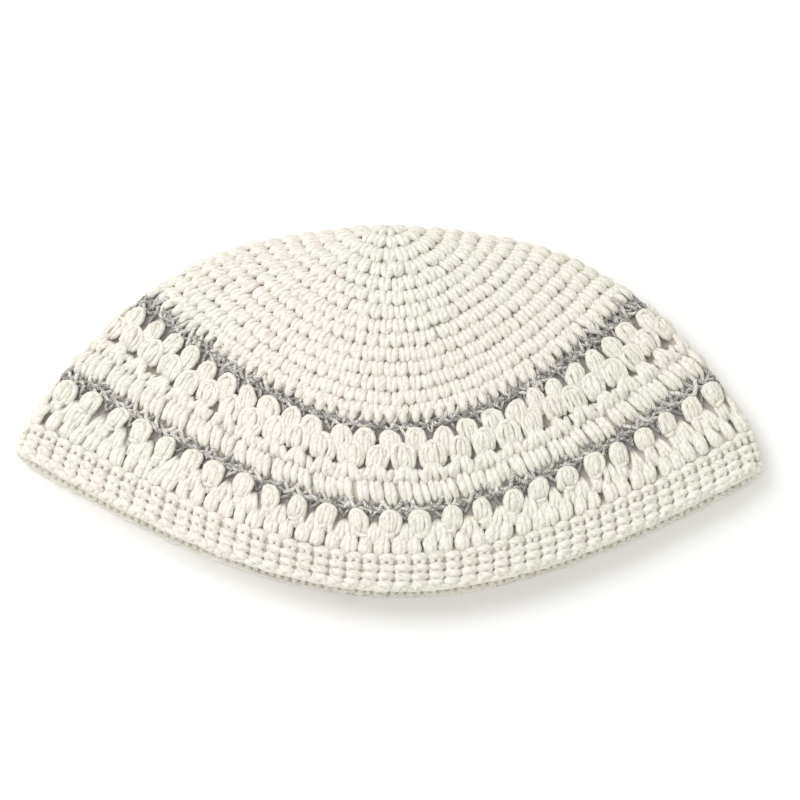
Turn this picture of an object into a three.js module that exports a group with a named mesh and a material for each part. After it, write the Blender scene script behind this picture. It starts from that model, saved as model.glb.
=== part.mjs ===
import * as THREE from 'three';
import { mergeVertices } from 'three/addons/utils/BufferGeometryUtils.js';

// A crocheted skullcap lying folded flat as a half-moon, in mm.
// X runs along the fold, Y from the mouth to the crown and Z up from the table.
// Each band of the cap is turned as a flat ring, then folded over with foldedPoint().

// Driving sizes
const WALL = 3.6;            // thickness of a plain crocheted wall
const STRIPE_WALL = 3.2;     // the two grey rows are worked tighter
const ROW_RIB = 0.55;        // how far the crest of a row stands over its groove
const PUFF_RISE = 1.3;       // how far a puff stitch stands over a plain wall
const PUFFS = 50;            // puff stitches in one round of a puff band
const ROW_GAP = 0.06;        // clearance between two bands, in rows: about 0.3 mm
const FLOOR_SNAP = 0.7;      // ribs nearer to the table than this are pressed flat on it
const LEAN = 0.026;          // the rows drop this much per mm toward +X
const LEAN_ROW = 19;         // up to this row the two ends of a row stay level

// Rows are counted from the crown; a band runs from one row to another.
const CROWN_END = 14;
const UPPER_STRIPE_END = 15;
const UPPER_PUFF_END = 18;
const LOWER_STRIPE_END = 19;
const LOWER_PUFF_END = 21;
const RIM_END = 25;

// Middle of the wall at some rows of the folded cap. half: half width at the side folds.
// sideY, sideZ, tip: place and radius of the side fold. front: upper layer, back: lower
// layer, both on the centre line. bow: smaller makes the row straighter toward its ends.
// straight: 0 is an ellipse around the crown, 1 an open bow.
const COLUMNS = [
  'row', 'half', 'sideY', 'sideZ', 'tip', 'frontY', 'frontZ', 'backY', 'backZ', 'bow', 'straight',
];
const STATIONS = [
  [0, 0, 140.2, 16.2, 8.0, 140.2, 16.2, 140.2, 16.2, 1.00, 0.00],
  [1, 6.6, 141.0, 14.2, 8.0, 135.4, 19.0, 142.2, 11.0, 1.00, 0.00],
  [2, 13.2, 141.6, 12.2, 8.0, 129.2, 21.2, 141.0, 5.6, 1.00, 0.15],
  [4, 26.5, 141.0, 10.4, 7.8, 115.6, 24.4, 129.9, 1.8, 1.00, 0.35],
  [7, 45.9, 137.6, 9.3, 7.2, 97.4, 26.8, 112.8, 1.8, 1.00, 0.65],
  [10, 64.9, 131.3, 8.5, 6.6, 80.0, 27.5, 95.7, 1.8, 1.00, 0.85],
  [14, 86.6, 116.9, 7.8, 6.0, 58.5, 26.0, 72.9, 1.8, 1.00, 1.00],
  [15, 93.2, 111.4, 7.6, 5.8, 53.8, 25.4, 68.8, 1.8, 1.00, 1.00],
  [18, 114.2, 86.6, 7.0, 5.2, 28.0, 22.3, 41.0, 1.8, 0.70, 1.00],
  [19, 118.0, 81.2, 6.9, 5.1, 24.4, 21.3, 37.0, 1.8, 0.65, 1.00],
  [21, 127.4, 64.6, 6.6, 4.8, 11.2, 18.6, 19.5, 1.8, 0.65, 1.00],
  [25, 131.0, 51.0, 6.3, 4.5, -0.2, 14.0, 2.5, 1.8, 0.75, 1.00],
];

// Slope of a column at a station, from its neighbours.
function slopeAt(index, column) {
  const low = STATIONS[Math.max(index - 1, 0)];
  const high = STATIONS[Math.min(index + 1, STATIONS.length - 1)];
  return (high[column] - low[column]) / (high[0] - low[0]);
}

// All columns at any row, by a smooth cubic between stations.
function stationAt(row) {
  let index = 0;
  while (index < STATIONS.length - 2 && STATIONS[index + 1][0] <= row) {
    index += 1;
  }
  const from = STATIONS[index];
  const to = STATIONS[index + 1];
  const span = to[0] - from[0];
  const t = (row - from[0]) / span;
  const values = {};
  COLUMNS.forEach((name, column) => {
    const start = from[column] * (1 + 2 * t) * (1 - t) ** 2;
    const startSlope = slopeAt(index, column) * span * t * (1 - t) ** 2;
    const end = to[column] * t * t * (3 - 2 * t);
    const endSlope = slopeAt(index + 1, column) * span * t * t * (t - 1);
    values[name] = start + startSlope + end + endSlope;
  });
  return values;
}

// One row as a closed curve, sampled from the back centre around to the back centre.
const RING_STEPS = 480;
const ringCache = new Map();

function rowCurve(row) {
  if (ringCache.has(row)) {
    return ringCache.get(row);
  }
  const s = stationAt(row);
  const half = Math.max(s.half, 1e-6);
  const roundness = Math.max(2, (2 * half) / s.tip);
  const rise = Math.max(s.frontZ - s.sideZ, 0);
  const tipRise = Math.min(s.tip, rise);
  const level = row <= LEAN_ROW ? 1 : (RIM_END - row) / (RIM_END - LEAN_ROW);
  const points = [];
  const lengths = [0];
  for (let step = 0; step <= RING_STEPS; step += 1) {
    const angle = Math.PI * ((2 * step) / RING_STEPS - 1);
    const q = Math.abs(Math.sin(angle));
    const upper = Math.cos(angle) >= 0;
    const open = (Math.hypot(1, q / s.bow) - 1) / (Math.hypot(1, 1 / s.bow) - 1);
    const ellipse = 1 - Math.sqrt(Math.max(1 - q * q, 0));
    const bend = ellipse + (open - ellipse) * s.straight;
    const closing = Math.sqrt(Math.max(1 - q ** roundness, 0));
    const x = half * Math.sin(angle);
    const centreY = upper ? s.frontY : s.backY;
    const y = centreY + (s.sideY - centreY) * bend - LEAN * x * (1 - level * q ** 8);
    const dome = tipRise + (rise - tipRise) * (1 - q * q) ** 1.5;
    const z = s.sideZ + (upper ? dome : s.backZ - s.sideZ) * closing;
    points.push(new THREE.Vector3(x, y, z));
    if (step > 0) {
      lengths.push(lengths[step - 1] + points[step].distanceTo(points[step - 1]));
    }
  }
  const curve = { points, lengths };
  ringCache.set(row, curve);
  return curve;
}

// Point on the middle of the wall; turn goes once around, 0 and 1 at the back centre.
function wallPoint(row, turn) {
  const { points, lengths } = rowCurve(row);
  const target = (turn - Math.floor(turn)) * lengths[RING_STEPS];
  let low = 0;
  let high = RING_STEPS;
  while (high - low > 1) {
    const middle = (low + high) >> 1;
    if (lengths[middle] <= target) {
      low = middle;
    } else {
      high = middle;
    }
  }
  const span = lengths[high] - lengths[low];
  const share = span > 0 ? (target - lengths[low]) / span : 0;
  return points[low].clone().lerp(points[high], share);
}

// Direction out of the cap. Near the crown it is the same all around.
const CROWN_PATCH = 0.5;

function wallNormal(row, turn) {
  const middle = Math.max(row, CROWN_PATCH);
  const patch = row < CROWN_PATCH;
  const around = wallPoint(middle, patch ? 0.75 : turn + 0.002);
  around.sub(wallPoint(middle, patch ? 0.25 : turn - 0.002));
  const down = wallPoint(patch ? middle : Math.min(row + 0.1, RIM_END), patch ? 0.5 : turn);
  down.sub(wallPoint(patch ? middle : row - 0.1, patch ? 0 : turn));
  return down.cross(around).normalize();
}

// A point of the turned ring, folded over: row from the crown, turn around, out of the wall.
function foldedPoint(row, turn, out) {
  const point = wallPoint(row, turn);
  point.addScaledVector(wallNormal(row, turn), out);
  if (point.z < FLOOR_SNAP) {
    point.z = 0;
  }
  return point;
}

// Steps around a band, closer together at the two side folds.
function foldSteps(share) {
  const crowding = 0.55;
  return share + (crowding / (4 * Math.PI)) * Math.sin(4 * Math.PI * share);
}

// Turns a closed profile of { row, out, swell, phase } and folds it over. swell lifts the
// profile point once per puff, and phase moves those lifts around by a share of a puff.
function band(profile, segments, spread) {
  const outline = profile.map((p) => new THREE.Vector2(p.row, p.out));
  const onAxis = profile[0].row === 0;
  if (!onAxis) {
    outline.push(outline[0].clone());
  }
  const turned = new THREE.LatheGeometry(outline, segments);
  const position = turned.getAttribute('position');
  for (let index = 0; index < position.count; index += 1) {
    const segment = Math.floor(index / outline.length) % segments;
    const p = profile[(index % outline.length) % profile.length];
    const turn = spread(segment / segments);
    const wave = Math.cos(2 * Math.PI * (PUFFS * turn + (p.phase ?? 0)));
    const out = p.out + (p.swell ?? 0) * Math.max(wave, 0);
    const point = foldedPoint(p.row, turn, out);
    position.setXYZ(index, point.x, point.y, point.z);
  }
  return closedGeometry(turned);
}

// Joins equal points, drops empty triangles and makes the faces look outward.
function closedGeometry(turned) {
  turned.deleteAttribute('uv');
  turned.deleteAttribute('normal');
  const geometry = mergeVertices(turned, 1e-3);
  const position = geometry.getAttribute('position');
  const index = geometry.getIndex();
  const kept = [];
  let volume = 0;
  for (let start = 0; start < index.count; start += 3) {
    const [a, b, c] = [index.getX(start), index.getX(start + 1), index.getX(start + 2)];
    if (a === b || b === c || c === a) {
      continue;
    }
    kept.push(a, b, c);
    const [pa, pb, pc] = [a, b, c].map((i) => new THREE.Vector3().fromBufferAttribute(position, i));
    volume += pa.dot(pb.cross(pc)) / 6;
  }
  geometry.setIndex(volume > 0 ? kept : kept.reverse());
  geometry.computeVertexNormals();
  return geometry;
}

// Crest and groove of plain rows along the outside, then the inside back to the start.
function ribbedProfile(first, last, innerStep) {
  const outside = WALL / 2;
  const profile = [];
  const start = first === 0 ? 0 : first + ROW_GAP / 2;
  const end = last === RIM_END ? last : last - ROW_GAP / 2;
  profile.push({ row: start, out: outside - ROW_RIB / 2 });
  for (let row = first; row < last; row += 1) {
    profile.push({ row: row + 0.5, out: outside + ROW_RIB / 2 });
    profile.push({ row: row + 1 < last ? row + 1 : end, out: outside - ROW_RIB / 2 });
  }
  for (let row = end; row > start; row -= innerStep) {
    profile.push({ row, out: -outside });
  }
  profile.push({ row: start, out: -outside });
  return profile;
}

// A single grey row.
function stripeProfile(first, last) {
  const outside = STRIPE_WALL / 2;
  const start = first + ROW_GAP / 2;
  const end = last - ROW_GAP / 2;
  return [
    { row: start, out: outside - ROW_RIB / 2 },
    { row: (start + end) / 2, out: outside },
    { row: end, out: outside - ROW_RIB / 2 },
    { row: end, out: -outside },
    { row: start, out: -outside },
  ];
}

// Two rounds of puffs, the second set between those of the first, and any plain rows after.
function puffProfile(first, last) {
  const outside = WALL / 2;
  const start = first + ROW_GAP / 2;
  const end = last - ROW_GAP / 2;
  const profile = [
    { row: start, out: outside },
    { row: first + 0.42, out: outside + 0.2, swell: PUFF_RISE, phase: 0 },
    { row: first + 0.95, out: outside - 0.1, swell: 0.5, phase: 0 },
    { row: first + 1.45, out: outside + 0.2, swell: PUFF_RISE, phase: 0.5 },
  ];
  for (let row = first + 2; row < last; row += 1) {
    profile.push({ row, out: outside - 0.1 });
    profile.push({ row: row + 0.5, out: outside + ROW_RIB });
  }
  profile.push({ row: end, out: outside - 0.1 });
  profile.push({ row: end, out: -outside });
  profile.push({ row: (start + end) / 2, out: -outside });
  profile.push({ row: start, out: -outside });
  return profile;
}

const CREAM = new THREE.MeshStandardMaterial({ color: '#f1eddc', roughness: 0.92, metalness: 0 });
const GREY = new THREE.MeshStandardMaterial({ color: '#8f8d8a', roughness: 0.95, metalness: 0 });

const even = (share) => share;
const puffSegments = 3 * PUFFS;

const BANDS = [
  ['crown', ribbedProfile(0, CROWN_END, 2), 48, foldSteps, CREAM],
  ['upper_stripe', stripeProfile(CROWN_END, UPPER_STRIPE_END), 64, foldSteps, GREY],
  ['upper_puff_band', puffProfile(UPPER_STRIPE_END, UPPER_PUFF_END), puffSegments, even, CREAM],
  ['lower_stripe', stripeProfile(UPPER_PUFF_END, LOWER_STRIPE_END), 64, foldSteps, GREY],
  ['lower_puff_band', puffProfile(LOWER_STRIPE_END, LOWER_PUFF_END), puffSegments, even, CREAM],
  ['rim_band', ribbedProfile(LOWER_PUFF_END, RIM_END, 2), 68, foldSteps, CREAM],
];

const cap = new THREE.Group();
cap.name = 'skullcap';
for (const [name, profile, segments, spread, material] of BANDS) {
  const mesh = new THREE.Mesh(band(profile, segments, spread), material);
  mesh.name = name;
  cap.add(mesh);
}

// The origin goes under the middle of the cap.
const box = new THREE.Box3().setFromObject(cap);
const middle = box.getCenter(new THREE.Vector3());
cap.children.forEach((mesh) => mesh.geometry.translate(-middle.x, -middle.y, -box.min.z));

export default cap;
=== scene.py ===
# %% [markdown]
# # A crocheted skullcap, folded flat
# The cap is worked in rounds from the crown to the rim, in off-white cotton with two thin grey
# rows. It lies folded in half on a table. Its looks come from the yarn, so every stitch is made
# here as real strands that follow the folded wall of the CAD part.

import math

import bmesh
import bpy
import numpy as np
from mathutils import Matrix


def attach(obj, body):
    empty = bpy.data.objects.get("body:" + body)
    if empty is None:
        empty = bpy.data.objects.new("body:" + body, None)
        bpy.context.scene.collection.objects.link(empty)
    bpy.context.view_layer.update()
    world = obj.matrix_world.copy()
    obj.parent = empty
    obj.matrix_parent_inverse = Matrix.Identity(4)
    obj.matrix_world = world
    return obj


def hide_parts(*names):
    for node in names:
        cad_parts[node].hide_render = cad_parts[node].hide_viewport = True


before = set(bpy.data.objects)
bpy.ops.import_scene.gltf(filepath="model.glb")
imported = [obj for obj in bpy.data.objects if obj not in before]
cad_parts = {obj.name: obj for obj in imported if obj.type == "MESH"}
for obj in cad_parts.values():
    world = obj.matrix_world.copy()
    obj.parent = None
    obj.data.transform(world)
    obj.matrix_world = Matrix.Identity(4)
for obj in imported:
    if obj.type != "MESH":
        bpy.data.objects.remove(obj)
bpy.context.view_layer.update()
MM = 0.001

# %% [markdown]
# ## The camera
# The photograph was taken from the front and well above the table. The cap looks about a tenth
# shorter than it would from straight above, and a thin strip of the lower rim shows under the
# upper one. Both fit a camera about 64 degrees above the table. A wide lens would bend the two
# ends away, so a long one is used.

# %% Camera
CAMERA_ELEVATION = math.radians(64.0)
CAMERA_DISTANCE = 1000 * MM
MM_PER_PIXEL = 0.355
IMAGE_WIDTH = 800
AIM = (4.14 * MM, -0.1 * MM, 15.0 * MM)

camera_data = bpy.data.cameras.new("photo_camera")
camera = bpy.data.objects.new("photo_camera", camera_data)
bpy.context.scene.collection.objects.link(camera)
bpy.context.scene.camera = camera
view_width = IMAGE_WIDTH * MM_PER_PIXEL * MM
camera_data.lens = camera_data.sensor_width * CAMERA_DISTANCE / view_width
camera.location = (
    AIM[0],
    AIM[1] - CAMERA_DISTANCE * math.cos(CAMERA_ELEVATION),
    AIM[2] + CAMERA_DISTANCE * math.sin(CAMERA_ELEVATION),
)
camera.rotation_euler = (math.pi / 2 - CAMERA_ELEVATION, 0.0, 0.0)
print("lens in mm:", round(camera_data.lens, 1))

# %% [markdown]
# ## Colours and nodes
# Colours are easiest to match as the hex values a paint program shows. Blender's sockets want
# linear light, so one function converts them. A second small function adds a shader node, sets
# it up and links it, which keeps each material short enough to read.

# %% Colour and node helpers


def linear(hex_colour):
    """Turns an sRGB hex colour into linear RGBA."""
    parts = [int(hex_colour[i : i + 2], 16) / 255 for i in (1, 3, 5)]
    light = [c / 12.92 if c <= 0.04045 else ((c + 0.055) / 1.055) ** 2.4 for c in parts]
    return (*light, 1.0)


def add_node(tree, kind, inputs=None, **settings):
    """Adds a node, sets its options, and fills or links its inputs."""
    node = tree.nodes.new(kind)
    for name, value in settings.items():
        setattr(node, name, value)
    for socket, value in (inputs or {}).items():
        if isinstance(value, bpy.types.NodeSocket):
            tree.links.new(value, node.inputs[socket])
        else:
            node.inputs[socket].default_value = value
    return node


def new_material(name):
    """A material with an empty node tree."""
    material = bpy.data.materials.new(name)
    material.use_nodes = True
    material.node_tree.nodes.clear()
    return material, material.node_tree


# %% [markdown]
# ## Floor and light
# The floor is a plain pale sheet. A soft lamp stands high on the left and a weaker one in front,
# under a bright even sky, as in a light tent. Hard light would draw every stitch with a dark
# edge; this gives soft shade between the stitches and only a faint shadow on the floor.

# %% Floor
FLOOR_HALF = 3000 * MM

floor_mesh = bmesh.new()
bmesh.ops.create_grid(floor_mesh, x_segments=1, y_segments=1, size=FLOOR_HALF)
floor_data = bpy.data.meshes.new("floor")
floor_mesh.to_mesh(floor_data)
floor_mesh.free()
floor = bpy.data.objects.new("floor", floor_data)
bpy.context.scene.collection.objects.link(floor)

floor_paint, tree = new_material("matt_white_card")
card = add_node(tree, "ShaderNodeBsdfDiffuse", {"Color": linear("#fbfbfa")})
add_node(tree, "ShaderNodeOutputMaterial", {"Surface": card.outputs[0]})
floor_data.materials.append(floor_paint)
print("floor in mm:", round(2 * FLOOR_HALF / MM))

# %% Sky and lamps
SKY_STRENGTH = 0.74
# Each lamp's name, place in metres, size in metres and power in watts.
LAMPS = [
    ("key_softbox", (-0.75, 0.40, 1.15), 1.0, 10.0),
    ("fill_softbox", (-0.30, -0.85, 1.10), 0.9, 3.0),
]

world = bpy.data.worlds.new("light_tent")
world.use_nodes = True
background = world.node_tree.nodes["Background"]
background.inputs["Color"].default_value = linear("#fffefb")
background.inputs["Strength"].default_value = SKY_STRENGTH
bpy.context.scene.world = world
bpy.context.scene.view_settings.view_transform = "Standard"


def soft_lamp(name, place, size, power):
    """A square lamp that looks at the middle of the cap."""
    data = bpy.data.lights.new(name, "AREA")
    data.size = size
    data.energy = power
    lamp = bpy.data.objects.new(name, data)
    bpy.context.scene.collection.objects.link(lamp)
    lamp.location = place
    lamp.rotation_euler = (-lamp.location).to_track_quat("-Z", "Y").to_euler()


for name, place, size, power in LAMPS:
    soft_lamp(name, place, size, power)
print("sky and", len(LAMPS), "lamps")

# %% [markdown]
# ## The folded wall
# All stitches lie on one curved wall. Its shape is a short table of rows counted from the crown:
# how wide the row is at the side folds, how high it lies, and how it bows. Between the rows of
# the table the values run smoothly. A cloth simulation could fold a dome flat, but it would not
# give this outline; the table shapes the CAD part too, so both agree. ORIGIN is the CAD origin
# in the table's own frame, and LEAN lets the rows fall a little to one side.

# %% Table of rows, in mm
COLUMNS = "row half side_y side_z tip front_y front_z back_y back_z bow straight".split()
STATIONS = np.array(
    [
        [0, 0, 140.2, 16.2, 8.0, 140.2, 16.2, 140.2, 16.2, 1.00, 0.00],
        [1, 6.6, 141.0, 14.2, 8.0, 135.4, 19.0, 142.2, 11.0, 1.00, 0.00],
        [2, 13.2, 141.6, 12.2, 8.0, 129.2, 21.2, 141.0, 5.6, 1.00, 0.15],
        [4, 26.5, 141.0, 10.4, 7.8, 115.6, 24.4, 129.9, 1.8, 1.00, 0.35],
        [7, 45.9, 137.6, 9.3, 7.2, 97.4, 26.8, 112.8, 1.8, 1.00, 0.65],
        [10, 64.9, 131.3, 8.5, 6.6, 80.0, 27.5, 95.7, 1.8, 1.00, 0.85],
        [14, 86.6, 116.9, 7.8, 6.0, 58.5, 26.0, 72.9, 1.8, 1.00, 1.00],
        [15, 93.2, 111.4, 7.6, 5.8, 53.8, 25.4, 68.8, 1.8, 1.00, 1.00],
        [18, 114.2, 86.6, 7.0, 5.2, 28.0, 22.3, 41.0, 1.8, 0.70, 1.00],
        [19, 118.0, 81.2, 6.9, 5.1, 24.4, 21.3, 37.0, 1.8, 0.65, 1.00],
        [21, 127.4, 64.6, 6.6, 4.8, 11.2, 18.6, 19.5, 1.8, 0.65, 1.00],
        [25, 131.0, 51.0, 6.3, 4.5, -0.2, 14.0, 2.5, 1.8, 0.75, 1.00],
    ]
)
ORIGIN = np.array([-0.232, 71.785, 0.0])
CROWN_END = 14
RIM_START = 21
RIM_END = 25


def station_at(row):
    """All columns of the table at any row, by a smooth cubic."""
    rows, values = STATIONS[:, 0], STATIONS[:, 1:]
    slopes = np.gradient(values, axis=0)
    slopes[1:-1] = (values[2:] - values[:-2]) / (rows[2:] - rows[:-2])[:, None]
    slopes[0] = (values[1] - values[0]) / (rows[1] - rows[0])
    slopes[-1] = (values[-1] - values[-2]) / (rows[-1] - rows[-2])
    i = int(np.clip(np.searchsorted(rows, row, side="right") - 1, 0, len(rows) - 2))
    span = rows[i + 1] - rows[i]
    t = (row - rows[i]) / span
    start = values[i] * (1 + 2 * t) * (1 - t) ** 2 + slopes[i] * span * t * (1 - t) ** 2
    end = values[i + 1] * t * t * (3 - 2 * t) + slopes[i + 1] * span * t * t * (t - 1)
    return dict(zip(COLUMNS[1:], start + end))


print("rows in the table:", len(STATIONS))

# %% One row as a closed curve
LEAN = 0.026
LEAN_ROW = 19
CURVE_POINTS = 961
TURN_STEPS = 720
DOME_POWER = 1.5
LEVEL_POWER = 8
TINY = 1e-6


def row_curve(row):
    """Points of one row, evenly spaced from the back centre around, and the row's length."""
    s = station_at(row)
    half = max(s["half"], TINY)
    angle = np.linspace(-math.pi, math.pi, CURVE_POINTS)
    aside = np.abs(np.sin(angle))
    upper = np.cos(angle) >= 0
    bow = (np.hypot(1, aside / s["bow"]) - 1) / (math.hypot(1, 1 / s["bow"]) - 1)
    ellipse = 1 - np.sqrt(np.clip(1 - aside**2, 0, 1))
    bend = ellipse + (bow - ellipse) * s["straight"]
    closing = np.sqrt(np.clip(1 - aside ** max(2, 2 * half / s["tip"]), 0, 1))
    rise = max(s["front_z"] - s["side_z"], 0)
    tip_rise = min(s["tip"], rise)
    dome = tip_rise + (rise - tip_rise) * (1 - aside**2) ** DOME_POWER
    level = 1 if row <= LEAN_ROW else (RIM_END - row) / (RIM_END - LEAN_ROW)
    x = half * np.sin(angle)
    centre_y = np.where(upper, s["front_y"], s["back_y"])
    lean = LEAN * x * (1 - level * aside**LEVEL_POWER)
    y = centre_y + (s["side_y"] - centre_y) * bend - lean
    z = s["side_z"] + np.where(upper, dome, s["back_z"] - s["side_z"]) * closing
    points = np.stack([x, y, z], 1) - ORIGIN
    run = np.r_[0, np.cumsum(np.linalg.norm(np.diff(points, axis=0), axis=1))]
    even = np.linspace(0, run[-1], TURN_STEPS + 1)
    return np.stack([np.interp(even, run, points[:, k]) for k in range(3)], 1), run[-1]


print("rim in mm:", round(row_curve(RIM_END)[1]))

# %% The wall as a grid
STEPS_PER_ROW = 8
APEX_ROW = 0.01
APEX_STEPS = 4

ROWS = np.linspace(0, RIM_END, RIM_END * STEPS_PER_ROW + 1)
curves = [row_curve(max(row, APEX_ROW)) for row in ROWS]
WALL = np.array([points for points, length in curves])
ROW_LENGTH = np.array([length for points, length in curves])
DOWN = np.gradient(WALL, 1 / STEPS_PER_ROW, axis=0)
AROUND = np.gradient(np.concatenate([WALL[:, -2:-1], WALL, WALL[:, 1:2]], 1), axis=1)[:, 1:-1]
OUTWARD = np.cross(DOWN, AROUND)
# The apex is a point with no direction of its own, so it takes the mean of a row close to it.
OUTWARD[0] = OUTWARD[APEX_STEPS].mean(axis=0)
OUTWARD /= np.linalg.norm(OUTWARD, axis=2, keepdims=True)
print("crown edge in mm:", round(ROW_LENGTH[CROWN_END * STEPS_PER_ROW]))

# %% Laying points on the wall
PRESSED = 0.55
UPWARD_GAIN = 1.5


def on_grid(grid, row, turn):
    """Reads a grid between its points."""
    down = np.clip(row, 0, RIM_END - TINY) * STEPS_PER_ROW
    around = (turn % 1.0) * TURN_STEPS
    i, j = down.astype(int), np.minimum(around.astype(int), TURN_STEPS - 1)
    down_part, around_part = (down - i)[..., None], (around - j)[..., None]
    near = grid[i, j] * (1 - around_part) + grid[i, j + 1] * around_part
    far = grid[i + 1, j] * (1 - around_part) + grid[i + 1, j + 1] * around_part
    return near * (1 - down_part) + far * down_part


def lay(row, turn, out):
    """Places points on the wall, in mm; stitches are pressed at the folds and on the table."""
    row, turn, out = np.broadcast_arrays(np.asarray(row, float), turn, out)
    normal = on_grid(OUTWARD, row, turn)
    normal /= np.linalg.norm(normal, axis=-1, keepdims=True)
    upward = np.clip(normal[..., 2] * UPWARD_GAIN, 0, 1)
    out = np.where(out > 0, out * (PRESSED + (1 - PRESSED) * upward), out)
    point = on_grid(WALL, row, turn) + normal * out[..., None]
    point += on_grid(DOWN, row, turn) * np.maximum(row - RIM_END, 0)[..., None]
    return point, normal


# %% [markdown]
# ## Yarn
# A stitch is drawn as strands, and a strand as a few points: how far across the stitch, how far
# down the row, how far out of the wall, and how thick the yarn is there. A round repeats the
# stitch with small seeded differences, as hand work does. A curve object for each strand would
# be slow, so all strands of a band become one mesh of slim tubes, made from arrays. The tubes
# carry a UV map, around and along the yarn, so that the material can twist its plies, and a
# depth: 0 on top of the work and 1 at its foot, where little light gets in. The materials paint
# shade by that depth.

# %% Rounds of stitches
SEED = 18
rng = np.random.default_rng(SEED)
# How much a stitch varies: shift, drop, lift in mm, size, lean and stretch.
HAND = np.array([0.045, 0.04, 0.10, 0.05, 0.07, 0.03])
# How much each point of a strand strays: across, down, and out in mm.
STRAY = np.array([0.036, 0.028, 0.16])
SIZE_TO_RADIUS = 0.6


def stitch_round(row, count, strands, phase=0.0, wobble=1.0, face=1, row_mm=None):
    """One round of like stitches; strand points are across, down, out in mm, radius in mm.

    With row_mm the stitches keep their length where the rows of the wall grow taller.
    A face of -1 lays them on the inside of the wall.
    """
    hand = rng.normal(0, HAND, (count, len(HAND))) * wobble
    shift, drop, lift, size, lean, stretch = hand.T[:, :, None]
    middle = np.arange(count)[:, None] + phase + shift
    longer = 1.0
    if row_mm:
        row_step = on_grid(DOWN, np.full_like(middle, row + 0.5), middle / count)
        longer = row_mm / np.linalg.norm(row_step, axis=-1)
    rounds = []
    for strand in strands:
        across, down, out, radius = np.array(strand, float).T
        down = down * longer
        stray = rng.normal(0, 1, (3, count, len(across))) * STRAY[:, None, None] * wobble
        stray = (stray + np.roll(stray, 1, axis=2) + np.roll(stray, -1, axis=2)) / 2
        place = middle + across * (1 + size) + lean * (down - 0.5) + stray[0]
        rows = np.minimum(row + down * (1 + stretch) + drop + stray[1], RIM_END)
        height = out + lift + stray[2]
        points, normal = lay(rows, place / count, face * height)
        rounds.append((points, face * normal, radius * (1 + SIZE_TO_RADIUS * size), height))
    return rounds


# %% Changing strands


def reshaped(strand, wide=1.0, tall=1.0, thick=1.0, across=0.0, out=0.0):
    """The strand made wider, taller or thicker, and then moved across or out."""
    return [(a * wide + across, d * tall, o + out, r * thick) for a, d, o, r in strand]


def mirrored(strand):
    """The same strand on the other side of the stitch."""
    return reshaped(strand, wide=-1.0)


def both_sides(strand):
    """The strand and its mirror image."""
    return [strand, mirrored(strand)]


# %% Loose fibres
FIBRE_RADIUS = 0.11
FIBRE_SIDES = 3
FIBRE_POINTS = 5
# How far a fibre reaches in turns, drops in rows, and lifts in mm.
FIBRE_REACH = 0.009
FIBRE_DROP = 0.4
FIBRE_LIFT = (0.2, 0.8)
# Added to the fibres' height so that the painted shade leaves them light.
FIBRE_LIGHT = 1.0


def loose_fibres(first_row, last_row, count, out):
    """Short thin fibres that stand off the yarn; drawn about 0.2 mm thick so that they show."""
    turn = rng.random((count, 1))
    row = rng.uniform(first_row, last_row, (count, 1))
    reach = rng.uniform(-FIBRE_REACH, FIBRE_REACH, (count, 1))
    drop = rng.uniform(-FIBRE_DROP, FIBRE_DROP, (count, 1))
    t = np.linspace(0, 1, FIBRE_POINTS)[None]
    height = out + rng.uniform(*FIBRE_LIFT, (count, 1)) * np.sin(math.pi * t)
    points, normal = lay(row + drop * t, turn + reach * t, height)
    return points, normal, np.full(t.shape, FIBRE_RADIUS), height + FIBRE_LIGHT


# %% Tubes along strands
SIDES = 6
TABLE_SOFTNESS = 0.05
SHADE_TOP = 1.35
SHADE_FOOT = -0.2


def above_table(z):
    """Keeps yarn that is pressed on the table just over it."""
    return 0.5 * (z + np.sqrt(z * z + TABLE_SOFTNESS))


def tubes(points, normal, radius, height, sides):
    """Vertices, side faces, end faces, UVs and depths of closed tubes; the depths set painted
    shade.
    """
    count, length = points.shape[:2]
    ahead = np.gradient(points, axis=1)
    ahead /= np.linalg.norm(ahead, axis=2, keepdims=True)
    side = np.cross(ahead, normal)
    side /= np.linalg.norm(side, axis=2, keepdims=True) + TINY
    top = np.cross(side, ahead)
    angle = np.arange(sides) * 2 * math.pi / sides
    ring = np.cos(angle)[:, None] * side[:, :, None] + np.sin(angle)[:, None] * top[:, :, None]
    vertices = points[:, :, None] + ring * radius[:, :, None, None]
    vertices[..., 2] = above_table(vertices[..., 2])
    index = np.arange(count * length * sides).reshape(count, length, sides)
    after = np.roll(index, -1, axis=2)
    quads = np.stack([index[:, :-1], after[:, :-1], after[:, 1:], index[:, 1:]], -1).reshape(-1, 4)
    caps = np.concatenate([index[:, 0, ::-1], index[:, -1]])
    step = np.linalg.norm(np.diff(points, axis=1), axis=2)
    run = np.concatenate([np.zeros((count, 1)), np.cumsum(step, axis=1)], 1)
    run = np.broadcast_to(run[:, :, None], (count, length, sides))
    u = np.broadcast_to(np.arange(sides) / sides, (count, length, sides))
    next_u = u + 1 / sides
    corners = [(u[:, :-1], run[:, :-1]), (next_u[:, :-1], run[:, :-1])]
    corners += [(next_u[:, 1:], run[:, 1:]), (u[:, 1:], run[:, 1:])]
    quad_uv = np.stack([np.stack(c, -1) for c in corners], 3).reshape(-1, 2)
    # Painted shade: the lower a point of the yarn lies in the work, the darker the material paints
    # it.
    above = height[:, :, None] + np.sin(angle) * radius[:, :, None]
    depth = np.clip((SHADE_TOP - above) / (SHADE_TOP - SHADE_FOOT), 0, 1)
    return vertices.reshape(-1, 3), quads, caps, quad_uv, depth.ravel()


# %% One piece of yarn work
END_UV = (0.75, 0.0)


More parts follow.
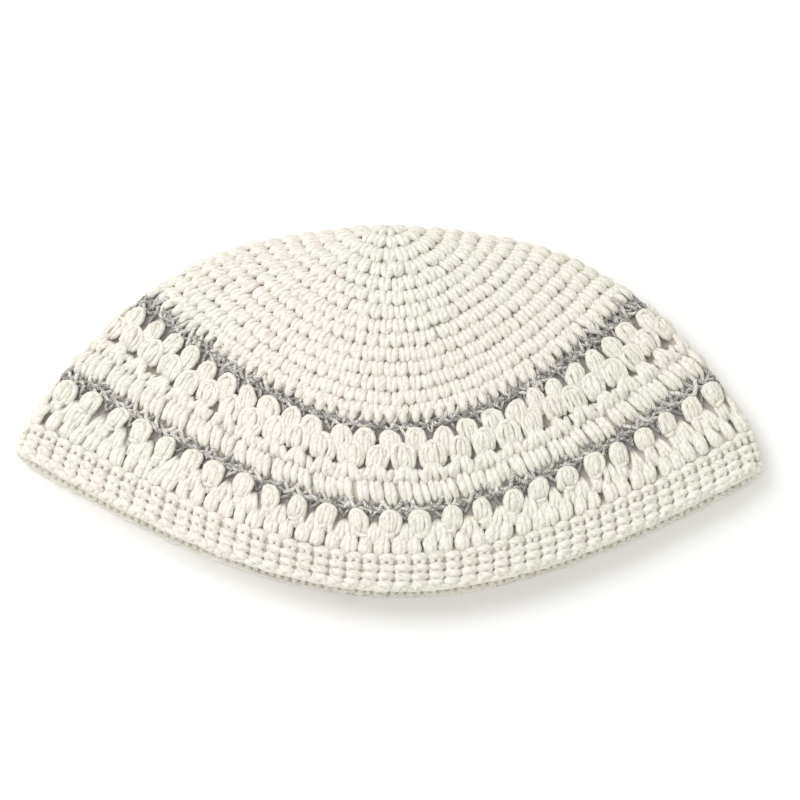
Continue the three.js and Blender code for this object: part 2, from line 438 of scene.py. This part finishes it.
def yarn_piece(name, node, material, rounds):
    """Joins rounds of strands into one piece that stands for a CAD node."""
    vertices, faces, uvs, tints, depths = [], [], [], [], []
    start = 0
    for points, normal, radius, height in rounds:
        radius = np.broadcast_to(radius, points.shape[:2])
        height = np.broadcast_to(height, points.shape[:2])
        sides = FIBRE_SIDES if radius.max() <= FIBRE_RADIUS else SIDES
        v, quads, caps, uv, depth = tubes(points, normal, radius, height, sides)
        vertices.append(v)
        depths.append(depth)
        faces += (quads + start).tolist() + (caps + start).tolist()
        uvs.append(np.concatenate([uv, np.tile(END_UV, (caps.size, 1))]))
        tints.append(np.repeat(rng.random(len(points)), points.shape[1] * sides))
        start += len(v)
    mesh = bpy.data.meshes.new(name)
    mesh.from_pydata((np.concatenate(vertices) * MM).tolist(), [], faces)
    mesh.uv_layers.new(name="yarn").data.foreach_set("uv", np.concatenate(uvs).ravel())
    # The tint is each strand's own tone; the depth sets the painted shade.
    for label, values in (("tint", tints), ("depth", depths)):
        layer = mesh.attributes.new(label, "FLOAT", "POINT")
        layer.data.foreach_set("value", np.concatenate(values))
    mesh.shade_smooth()
    mesh.materials.append(material)
    piece = bpy.data.objects.new(name, mesh)
    bpy.context.scene.collection.objects.link(piece)
    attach(piece, "root")
    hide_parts(node)
    triangles = sum(len(f) - 2 for f in faces)
    print(name, "strands:", sum(len(r[0]) for r in rounds), "triangles:", triangles)


# %% [markdown]
# ## Cotton yarn
# The yarn is matt cotton of a few plies, loosely twisted together. The twist shows as faint
# grooves along each strand, and fine fibres run along it. Real fibres by the thousand would be
# too heavy, so all of that is drawn on the yarn's UV map as colour and bump. Towards the foot of
# the work the yarn is painted darker, as shade where little light gets in. The off-white drifts a
# little from warm to cool over the cap.

# %% Small steps of a material
# The colour sockets of a mix node share their names with others, so they go by number.
FIRST_COLOUR = 6
SECOND_COLOUR = 7
BUMP_STRENGTH = 0.8


def mixed(tree, factor, first, second):
    """A colour between two others."""
    inputs = {"Factor": factor, FIRST_COLOUR: first, SECOND_COLOUR: second}
    return add_node(tree, "ShaderNodeMix", inputs, data_type="RGBA").outputs[2]


def ramped(tree, value, start, end, most=1.0):
    """A share that runs from 0 at the start value to the most at the end value."""
    inputs = {"From Min": start, "From Max": end, "To Min": 0.0, "To Max": most}
    return add_node(tree, "ShaderNodeMapRange", {"Value": value, **inputs}).outputs[0]


def scaled(tree, value, factor, plus=0.0):
    """A value times a factor, plus another value."""
    inputs = {0: value, 1: factor, 2: plus}
    return add_node(tree, "ShaderNodeMath", inputs, operation="MULTIPLY_ADD").outputs[0]


def noise(tree, place, scale, detail):
    """Soft random spots."""
    inputs = {"Vector": place, "Scale": scale, "Detail": detail}
    return add_node(tree, "ShaderNodeTexNoise", inputs).outputs["Fac"]


def vertex_value(tree, label):
    """A value that the mesh holds for each vertex."""
    return add_node(tree, "ShaderNodeAttribute", attribute_name=label).outputs["Fac"]


def bumped(tree, height, height_mm, under=None):
    """A bump of a real height, on top of another one if it is given."""
    inputs = {"Height": height, "Strength": BUMP_STRENGTH, "Distance": height_mm * MM}
    if under is not None:
        inputs["Normal"] = under
    return add_node(tree, "ShaderNodeBump", inputs).outputs["Normal"]


def matt_finish(tree, colour, normal, roughness, sheen=0.0, sheen_roughness=0.5):
    """A matt surface with a soft sheen, linked to the output."""
    inputs = {"Base Color": colour, "Roughness": roughness, "Normal": normal}
    inputs |= {"Sheen Weight": sheen, "Sheen Roughness": sheen_roughness}
    surface = add_node(tree, "ShaderNodeBsdfPrincipled", inputs)
    add_node(tree, "ShaderNodeOutputMaterial", {"Surface": surface.outputs[0]})


# %% The yarn's own pattern
PLIES = 3
# At scale 1 a wave texture repeats after this length.
WAVE_PERIOD = 2 * math.pi / 20
FIBRES_AROUND = 9.0
FIBRE_LENGTH_MM = 1.5
TINT_SPREAD = 60.0


def yarn_pattern(tree, ply_turn_mm):
    """The place, a strand's tint, ply grooves, fibre streaks, and the depth that sets the painted
    shade.
    """
    coordinates = add_node(tree, "ShaderNodeTexCoord")
    split = add_node(tree, "ShaderNodeSeparateXYZ", {0: coordinates.outputs["UV"]})
    around, along = split.outputs["X"], split.outputs["Y"]
    tint = vertex_value(tree, "tint")
    wind = scaled(tree, along, 1 / ply_turn_mm, around)
    ply_spot = add_node(tree, "ShaderNodeCombineXYZ", {"X": wind})
    plies = add_node(
        tree,
        "ShaderNodeTexWave",
        {"Vector": ply_spot.outputs[0], "Scale": PLIES * WAVE_PERIOD},
        wave_type="BANDS",
        bands_direction="X",
    )
    fibre_spot = add_node(
        tree,
        "ShaderNodeCombineXYZ",
        {
            "X": scaled(tree, wind, FIBRES_AROUND),
            "Y": scaled(tree, along, 1 / FIBRE_LENGTH_MM),
            "Z": scaled(tree, tint, TINT_SPREAD),
        },
    )
    return {
        "place": coordinates.outputs["Object"],
        "tint": tint,
        "plies": plies.outputs["Fac"],
        "fibres": noise(tree, fibre_spot.outputs[0], scale=1.0, detail=3.0),
        "depth": vertex_value(tree, "depth"),
    }


def yarn_bump(tree, yarn, ply_mm, fibre_mm):
    """Raises the plies, and the fibres on them."""
    return bumped(tree, yarn["fibres"], fibre_mm, under=bumped(tree, yarn["plies"], ply_mm))


# %% Off-white cotton
DRIFT_MM = 40

cream_cotton, tree = new_material("off_white_cotton_yarn")
yarn = yarn_pattern(tree, ply_turn_mm=16.0)
drift = noise(tree, yarn["place"], scale=1 / (DRIFT_MM * MM), detail=2.0)
drift_share = ramped(tree, drift, start=0.3, end=0.7)
warm_cool = mixed(tree, drift_share, linear("#f2ece3"), linear("#eeeee3"))
streaks = ramped(tree, yarn["fibres"], start=0.54, end=0.28, most=0.8)
streaked = mixed(tree, streaks, warm_cool, linear("#cbc6b7"))
# Painted shade: the yarn turns darker towards the foot of the work, by its depth.
shaded = mixed(tree, yarn["depth"], streaked, linear("#b8b2a1"))
normal = yarn_bump(tree, yarn, ply_mm=0.06, fibre_mm=0.5)
matt_finish(tree, shaded, normal, roughness=0.88, sheen=0.12, sheen_roughness=0.5)
print(cream_cotton.name, "nodes:", len(tree.nodes))

# %% [markdown]
# The grey yarn is melange: it is spun from dark and pale fibres, so each strand is streaked along
# its length and no two strands have quite the same grey. The same pattern serves, with a
# tighter twist and the fibres themselves as the mix of two greys.

# %% Grey melange
PLY_SHARE = 0.12
TINT_SHARE = 0.35

grey_melange, tree = new_material("grey_melange_yarn")
yarn = yarn_pattern(tree, ply_turn_mm=3.0)
spun = scaled(tree, yarn["plies"], PLY_SHARE, yarn["fibres"])
own_grey = scaled(tree, yarn["tint"], TINT_SHARE, spun)
fibre_mix = ramped(tree, own_grey, start=0.52, end=0.9)
melange = mixed(tree, fibre_mix, linear("#858180"), linear("#f4f0e9"))
# Painted shade: towards the foot of the work the grey turns to a flat shade grey, by its depth.
shaded = mixed(tree, yarn["depth"], melange, linear("#a5a09d"))
normal = yarn_bump(tree, yarn, ply_mm=0.2, fibre_mm=0.25)
matt_finish(tree, shaded, normal, roughness=0.92, sheen=0.15, sheen_roughness=0.6)
print(grey_melange.name, "nodes:", len(tree.nodes))

# %% [markdown]
# ## The ground behind the stitches
# Between the stitches one looks into the depth of the work, where yarn crosses in the shade. To
# make all that yarn would be wasted, so a thin closed wall stands for it. Where the work is
# close it lies just under the stitches and is off-white. In the caves between the puffs, in the
# small holes, and at the foot of each row it sinks back and is painted grey as shade; in the
# caves that grey partly stands for grey yarn as well. A vertex attribute holds that depth, for
# the material to read.

# %% Ground material
PATCH_MM = 1.2
PATCH_HEIGHT_MM = 0.4

work_depth, tree = new_material("crossing_yarn_in_the_shade")
coordinates = add_node(tree, "ShaderNodeTexCoord")
patches = noise(tree, coordinates.outputs["Object"], scale=1 / (PATCH_MM * MM), detail=3.0)
near = mixed(tree, patches, linear("#c4beaa"), linear("#eee9dc"))
# Painted shade: the far ground is grey where it stands for the shaded depth of the work, and in
# the caves partly for grey yarn.
far = mixed(tree, patches, linear("#979190"), linear("#c8c1bd"))
shade = mixed(tree, vertex_value(tree, "depth"), near, far)
matt_finish(tree, shade, bumped(tree, patches, PATCH_HEIGHT_MM), roughness=0.95)
print(work_depth.name, "nodes:", len(tree.nodes))

# %% How deep the ground lies
PUFFS = 50
# Each cave's or hole's middle row, half width in rows, and depth, which is cut off at 1.
CAVES = [(14.8, 1.35, 1.6), (18.9, 1.30, 1.7)]
HOLES = [(16.4, 0.70, 1.6), (20.5, 0.60, 1.6)]
HOLE_HALF_WIDTH = 0.4
FOOT_HALF_WIDTH = 0.35
CROWN_FOOT = 0.8
RIM_FOOT = 0.3
RIM_FOOT_START = RIM_START + 0.2


def bump_at(value, middle, half_width):
    """1 at the middle, 0 beyond the half width, smooth between."""
    t = np.clip(1 - np.abs(value - middle) / half_width, 0, 1)
    return t * t * (3 - 2 * t)


def sunk(row, table):
    """How deep the ground sinks at a row, from a table of caves or holes."""
    return np.maximum.reduce([deep * bump_at(row, mid, half) for mid, half, deep in table])


def ground_depth(row, turn):
    """0 where the work is close, 1 in caves, in holes and at the foot of a row; it sinks the
    ground and sets its painted shade.
    """
    beside = np.abs((turn * PUFFS + 0.5) % 1.0 - 0.5)
    foot_depth = np.where(row < CROWN_END, CROWN_FOOT, RIM_FOOT * (row > RIM_FOOT_START))
    foot = bump_at((row + 0.5) % 1.0, 0.5, FOOT_HALF_WIDTH) * foot_depth
    holes = sunk(row, HOLES) * bump_at(beside, 0.0, HOLE_HALF_WIDTH)
    return np.clip(np.maximum.reduce([foot, sunk(row, CAVES), holes]), 0, 1)


# %% Ground wall
GROUND_NEAR = 0.6
GROUND_FAR = -0.7
GROUND_IN = -1.7
GROUND_RIM = -0.6
RIM_FADE_ROWS = 0.3
RIM_SHARE = 0.998
GROUND_TURNS = 400
OUTER_STEPS = 150
INNER_STEPS = 50
MERGE_MM = 0.01

bag = bmesh.new()
bmesh.ops.create_grid(bag, x_segments=GROUND_TURNS, y_segments=OUTER_STEPS + INNER_STEPS, size=1.0)
grid = np.array([v.co[:2] for v in bag.verts])
turn = (grid[:, 0] + 1) / 2
step = np.round((grid[:, 1] + 1) / 2 * (OUTER_STEPS + INNER_STEPS))
outside = step <= OUTER_STEPS
share = np.where(outside, step / OUTER_STEPS, 1 - (step - OUTER_STEPS) / INNER_STEPS)
row = RIM_END * share * RIM_SHARE
# The same depth sinks the wall and sets its painted shade.
depth = np.where(outside, ground_depth(row, turn), 0.0)
rim_fade = np.clip((RIM_END - row) / RIM_FADE_ROWS, 0, 1)
out = np.where(outside, GROUND_NEAR + (GROUND_FAR - GROUND_NEAR) * depth, GROUND_IN)
out = GROUND_RIM + (out - GROUND_RIM) * rim_fade
points = lay(row, turn, out)[0]
shade_layer = bag.verts.layers.float.new("depth")
for vertex, point, value in zip(bag.verts, points * MM, depth):
    vertex.co = point
    vertex[shade_layer] = value
bmesh.ops.remove_doubles(bag, verts=bag.verts, dist=MERGE_MM * MM)
bmesh.ops.recalc_face_normals(bag, faces=bag.faces)
ground_data = bpy.data.meshes.new("inner_ground")
bag.to_mesh(ground_data)
bag.free()
ground_data.materials.append(work_depth)
ground_data.shade_smooth()
inner_ground = bpy.data.objects.new("inner_ground", ground_data)
bpy.context.scene.collection.objects.link(inner_ground)
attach(inner_ground, "root")
print("ground faces:", len(ground_data.polygons))

# %% [markdown]
# ## The crown
# Each stitch of the crown shows as two plump legs, side by side. Their upper ends come out from
# under the row before, and their lower ends stand out and turn in, which leaves a dark dot at
# the foot of each stitch: real shade, deepened by painted shade on the ground and the yarn. The
# stitch width stays the same, so each row holds more stitches. The last row also has single
# bumps, with grey between them.

# %% Crown stitches
STITCH_MM = 4.2
ROW_STITCHES = 100
CROWN_LEG = [
    (0.25, -0.16, -0.90, 0.95),
    (0.25, 0.06, -0.10, 1.30),
    (0.25, 0.28, 0.55, 1.55),
    (0.24, 0.54, 0.95, 1.64),
    (0.20, 0.76, 1.10, 1.52),
    (0.12, 0.96, 0.80, 1.16),
    (0.08, 1.09, 0.00, 0.68),
]
FIRST_LEG = [
    (0.26, 0.02, 0.10, 1.20),
    (0.26, 0.28, 0.40, 1.45),
    (0.26, 0.56, 0.80, 1.55),
    (0.25, 0.80, 0.90, 1.40),
    (0.23, 0.98, 0.50, 1.05),
    (0.20, 1.08, -0.10, 0.65),
]
LAST_LEG = reshaped(CROWN_LEG, tall=0.8)
LAST_ROW_BUMP = [
    (0.00, 0.42, 0.30, 1.30),
    (0.00, 0.64, 1.10, 1.62),
    (0.00, 0.90, 1.35, 1.70),
    (0.00, 1.14, 1.00, 1.50),
    (0.00, 1.32, 0.10, 0.95),
]

crown_rounds = []
for row in range(CROWN_END - 1):
    length = ROW_LENGTH[int((row + 0.5) * STEPS_PER_ROW)]
    count = round(length / STITCH_MM)
    leg = CROWN_LEG if row else FIRST_LEG
    crown_rounds += stitch_round(row, count, both_sides(leg), phase=rng.random())
last_row = both_sides(LAST_LEG) + [LAST_ROW_BUMP]
crown_rounds += stitch_round(CROWN_END - 1, ROW_STITCHES, last_row)
yarn_piece("crown_stitches", "crown", cream_cotton, crown_rounds)

# %% [markdown]
# ## The grey rows
# A grey row is one round of short stitches. Two legs of each fan out from between the stitches
# of the row before, strands wind along the lower edge, and some hang between the puffs. The yarn
# is fuzzy, so loose fibres stand off it. Hair particles would do that too, but thin tubes join
# the same mesh and need no other settings.

# %% Winding strands
POINTS_PER_WAVE = 6
WAVE_LIFT_MM = 0.25
UNEVEN_ROWS = 0.07
UNEVEN_LIFT = 3


def winding_strand(row, waves, sway_rows, out, radius, phase, on_top=0.0):
    """A strand that runs all the way around and sways; on_top lifts it out of the shade."""
    turn = np.linspace(0, 1, waves * POINTS_PER_WAVE + 1)
    angle = 2 * math.pi * (turn * waves + phase)
    knots = np.linspace(0, 1, waves + 1)
    uneven = np.interp(turn, knots, rng.normal(0, UNEVEN_ROWS, waves + 1))
    height = out + WAVE_LIFT_MM * np.cos(angle) + UNEVEN_LIFT * uneven
    points, normal = lay(row + sway_rows * np.sin(angle) + uneven, turn, height)
    return points[None], normal[None], np.full((1, len(turn)), radius), height[None] + on_top


# %% Grey rows
UPPER_GREY_ROW = CROWN_END
LOWER_GREY_ROW = 18
HALF_STITCH = 0.5
GREY_LEG = [
    (0.00, -0.55, 0.2, 0.50),
    (0.01, -0.28, 0.7, 0.72),
    (0.08, 0.00, 0.9, 0.78),
    (0.26, 0.28, 0.9, 0.78),
    (0.46, 0.52, 0.7, 0.70),
    (0.60, 0.76, 0.2, 0.50),
]
HANGING_LOOP = [
    (-0.18, 0.60, 0.3, 0.55),
    (-0.11, 0.98, 0.5, 0.62),
    (0.00, 1.26, 0.3, 0.62),
    (0.11, 0.98, 0.5, 0.62),
    (0.18, 0.60, 0.3, 0.55),
]
# Each winding strand's rows down, waves, sway in rows, out in mm, radius in mm, and phase.
LOWER_EDGE = [
    (0.36, ROW_STITCHES, 0.13, 0.35, 0.74, 0.00),
    (0.56, ROW_STITCHES, 0.13, 0.35, 0.74, 0.50),
    (0.76, PUFFS, 0.12, 0.30, 0.70, 0.25),
]
FIBRE_COUNT = 1500
FIBRE_START = -0.35
FIBRE_END = 1.15
FIBRE_OUT_MM = 1.0


def grey_row(row):
    """Legs, edge strands, hanging loops and fibres of one grey row."""
    rounds = stitch_round(row, ROW_STITCHES, both_sides(GREY_LEG), HALF_STITCH, wobble=2.6)
    for down, *strand in LOWER_EDGE:
        rounds.append(winding_strand(row + down, *strand))
    rounds += stitch_round(row, PUFFS, [HANGING_LOOP], HALF_STITCH, wobble=1.5)
    rounds.append(loose_fibres(row + FIBRE_START, row + FIBRE_END, FIBRE_COUNT, FIBRE_OUT_MM))
    return rounds


upper_grey = grey_row(UPPER_GREY_ROW)
yarn_piece("upper_stripe_stitches", "upper_stripe", grey_melange, upper_grey)
lower_grey = grey_row(LOWER_GREY_ROW)
yarn_piece("lower_stripe_stitches", "lower_stripe", grey_melange, lower_grey)

# %% [markdown]
# ## Puff stitches
# A puff is several loops of yarn drawn up through one space and closed together. Its head is an
# egg-shaped bundle: one loop around, a few strands within it, and thick filling under them so
# that no gap shows. A smooth egg with a bump would be lighter, but each loop catches the light
# by itself. The next round of puffs sits between those of the first, and small holes stay open
# under each first puff. Below them comes one plain row of slanting legs.

# %% A bundle of loops
LOOP_TOP = (0.00, 0.00, 1.55, 1.00)
HALF_LOOP = [
    (0.66, 1.42, 0.4, 0.90),
    (0.90, 1.15, 1.0, 1.00),
    (1.00, 0.82, 1.5, 1.00),
    (1.00, 0.52, 1.7, 1.00),
    (0.82, 0.26, 1.7, 1.00),
    (0.46, 0.07, 1.6, 1.00),
]
OUTER_STRAND = [
    (0.50, 1.42, 0.7, 0.62),
    (0.66, 1.08, 1.5, 0.76),
    (0.70, 0.74, 2.0, 0.80),
    (0.64, 0.44, 2.1, 0.80),
    (0.44, 0.22, 1.9, 0.72),
    (0.20, 0.10, 1.5, 0.62),
]
INNER_STRAND = [
    (0.14, 1.42, 0.9, 0.64),
    (0.22, 1.05, 1.9, 0.78),
    (0.26, 0.70, 2.4, 0.82),
    (0.22, 0.40, 2.5, 0.80),
    (0.10, 0.18, 2.1, 0.70),
]
PUFF_FILLING = [
    (0.00, 0.12, 0.6, 1.10),
    (0.00, 0.38, 0.8, 1.80),
    (0.00, 0.74, 0.8, 1.95),
    (0.00, 1.10, 0.4, 1.70),
    (0.00, 1.40, -0.2, 1.20),
]
SIDE_FILLING = [
    (0.50, 0.22, 0.5, 0.95),
    (0.66, 0.48, 0.7, 1.25),
    (0.68, 0.80, 0.6, 1.25),
    (0.58, 1.12, 0.3, 1.10),
    (0.46, 1.38, -0.1, 0.90),
]
TAPER_START = 0.5


def tapered(strand, taper):
    """The strand drawn in towards the middle below the taper's start."""
    return [(a * (1 - taper * max(d - TAPER_START, 0)), d, o, r) for a, d, o, r in strand]


def puff(width, height, thickness, out=0.0, taper=0.0):
    """Strands of one puff: the loop around, four strands within it and the filling under them."""
    strands = [mirrored(HALF_LOOP) + [LOOP_TOP] + HALF_LOOP[::-1]]
    strands += both_sides(OUTER_STRAND) + both_sides(INNER_STRAND)
    strands += [PUFF_FILLING] + both_sides(SIDE_FILLING)
    return [reshaped(tapered(s, taper), width, height, thickness, out=out) for s in strands]


# %% Upper band
FIRST_PUFF_ROW = 14.96
SECOND_PUFF_ROW = 15.62
JOINING_ROW = 16.48
HOLE_FOOT_ROW = 16.60
PLAIN_ROW = 17.0
UPPER_ROW_MM = 8.6
UPPER_WOBBLE = 1.2
LEANING_STRAND = [
    (0.06, -0.20, 0.6, 1.05),
    (0.15, 0.06, 1.3, 1.32),
    (0.26, 0.30, 1.7, 1.42),
    (0.35, 0.50, 1.5, 1.28),
    (0.41, 0.65, 0.4, 0.90),
]
FILLING_STRAND = [
    (0.04, -0.20, 0.7, 1.10),
    (0.08, 0.12, 1.5, 1.40),
    (0.12, 0.38, 1.7, 1.42),
    (0.14, 0.64, 0.5, 1.00),
]
HOLE_FOOT = [
    (0.04, 0.00, 0.2, 0.95),
    (0.10, 0.13, 1.1, 1.30),
    (0.16, 0.32, 1.5, 1.38),
    (0.20, 0.52, 0.5, 1.00),
]
PLAIN_LEG = [
    (-0.09, -0.04, -0.3, 1.00),
    (-0.05, 0.16, 0.7, 1.38),
    (0.02, 0.40, 1.5, 1.60),
    (0.10, 0.63, 1.6, 1.52),
    (0.17, 0.85, 1.0, 1.15),
    (0.23, 1.04, 0.0, 0.70),
]
PLAIN_LEG_PLACES = (-0.26, 0.14)

first_puff = puff(width=0.32, height=0.80, thickness=1.1, taper=0.2)
second_puff = puff(width=0.38, height=0.72, thickness=1.1, out=0.2)
joining = [LEANING_STRAND, FILLING_STRAND]
joining += [mirrored(strand) for strand in joining]
plain_legs = [reshaped(PLAIN_LEG, across=place) for place in PLAIN_LEG_PLACES]

upper_puffs = stitch_round(
    FIRST_PUFF_ROW, PUFFS, first_puff, wobble=UPPER_WOBBLE, row_mm=UPPER_ROW_MM
)
upper_puffs += stitch_round(
    SECOND_PUFF_ROW, PUFFS, second_puff, HALF_STITCH, UPPER_WOBBLE, row_mm=UPPER_ROW_MM
)
upper_puffs += stitch_round(JOINING_ROW, PUFFS, joining, HALF_STITCH)
upper_puffs += stitch_round(HOLE_FOOT_ROW, PUFFS, both_sides(HOLE_FOOT))
upper_puffs += stitch_round(PLAIN_ROW, ROW_STITCHES, plain_legs, wobble=1.25)
yarn_piece("upper_puff_stitches", "upper_puff_band", cream_cotton, upper_puffs)

# %% [markdown]
# The lower band has wider spaces. Its second round shows as pairs of round lumps under the first
# puffs, with a few strands that rise between the heads. A small bar closes each head, and a few
# tails run down from under it. They are strands again, so that light gets in between them.

# %% Strands of the lower band
HEAD_BAR = [
    (-0.16, 1.14, 1.0, 0.70),
    (-0.08, 1.20, 1.6, 0.82),
    (0.00, 1.23, 1.7, 0.86),
    (0.08, 1.20, 1.6, 0.82),
    (0.16, 1.14, 1.0, 0.70),
]
HEAD_TAIL = [
    (0.8, 0.60, 0.3, 1.00),
    (0.9, 0.90, 0.7, 1.20),
    (1.0, 1.20, 0.9, 1.25),
    (1.1, 1.52, 0.3, 1.00),
]
TAIL_PLACES = (-0.13, 0.0, 0.13)
LUMP_STRAND = [
    (0.8, -0.04, 0.1, 0.95),
    (0.9, 0.16, 0.9, 1.20),
    (1.0, 0.44, 1.4, 1.38),
    (1.0, 0.70, 1.3, 1.38),
    (0.9, 0.93, 0.8, 1.20),
    (0.7, 1.10, -0.2, 0.90),
]
LUMP_PLACES = (-0.245, 0.245)
LUMP_SPREAD = 0.115
LUMP_LIFT_MM = 0.35
RISING_STRAND = [
    (0.5, -0.64, -0.4, 0.95),
    (0.9, -0.42, 0.6, 1.15),
    (1.3, -0.17, 1.3, 1.20),
    (1.8, 0.12, 1.3, 1.15),
    (2.2, 0.36, 0.7, 0.90),
]
RISING_PLACES = (-0.10, 0.0, 0.10)


def lump(across):
    """Three strands that make one round lump, with the middle one highest."""
    spread = ((-LUMP_SPREAD, 0.0), (0.0, LUMP_LIFT_MM), (LUMP_SPREAD, 0.0))
    return [reshaped(LUMP_STRAND, wide=side, across=across, out=lift) for side, lift in spread]


# %% Lower band
LOWER_PUFF_ROW = 18.84
LUMP_ROW = 20.08
LOWER_ROW_MM = 6.9

head = puff(width=0.26, height=0.80, thickness=1.12) + [HEAD_BAR]
tails = [reshaped(HEAD_TAIL, wide=place) for place in TAIL_PLACES]
second_round = [strand for place in LUMP_PLACES for strand in lump(place)]
second_round += [reshaped(RISING_STRAND, wide=place) for place in RISING_PLACES]

lower_puffs = stitch_round(LOWER_PUFF_ROW, PUFFS, head, row_mm=LOWER_ROW_MM)
lower_puffs += stitch_round(LOWER_PUFF_ROW, PUFFS, tails)
lower_puffs += stitch_round(LUMP_ROW, PUFFS, second_round, HALF_STITCH, wobble=0.8)
yarn_piece("lower_puff_stitches", "lower_puff_band", cream_cotton, lower_puffs)

# %% [markdown]
# ## The rim
# Four close rows end the cap. Their stitches look like low bricks in columns: a bar of yarn lies
# across two short legs, whose feet dip in, so a dot shows at each joint, deepened by painted
# shade on the ground. The inside shows at the mouth, so it gets the same rows. Two strands bind
# the edge.

# %% Rim rows and edge
BRICK_BAR = [
    (-0.44, 0.44, -0.5, 0.90),
    (-0.36, 0.44, 0.45, 1.40),
    (-0.18, 0.43, 0.85, 1.70),
    (0.00, 0.42, 0.88, 1.74),
    (0.18, 0.43, 0.85, 1.70),
    (0.36, 0.44, 0.45, 1.40),
    (0.44, 0.44, -0.5, 0.90),
]
BRICK_LEG = [
    (0.23, 0.50, 0.70, 1.10),
    (0.23, 0.75, 0.80, 1.25),
    (0.22, 0.96, 0.60, 1.15),
    (0.20, 1.10, 0.00, 0.80),
]
INNER_OUT_MM = 1.0
SHIFT_PER_ROW = 0.06
EDGE_ROW = RIM_END - 0.08
EDGE_OUT_MM = (0.35, -0.75)

brick = [BRICK_BAR] + both_sides(BRICK_LEG)
inner_brick = [reshaped(strand, out=INNER_OUT_MM) for strand in brick]
rim_rounds = []
for row in range(RIM_START, RIM_END):
    shift = SHIFT_PER_ROW * (row - RIM_START)
    rim_rounds += stitch_round(row, ROW_STITCHES, brick, shift, wobble=0.6)
    rim_rounds += stitch_round(row, ROW_STITCHES, inner_brick, wobble=0.5, face=-1)
for out in EDGE_OUT_MM:
    edge = winding_strand(
        EDGE_ROW, ROW_STITCHES, sway_rows=0.04, out=out, radius=1.15, phase=0.3, on_top=2.0
    )
    rim_rounds.append(edge)
yarn_piece("rim_stitches", "rim_band", cream_cotton, rim_rounds)
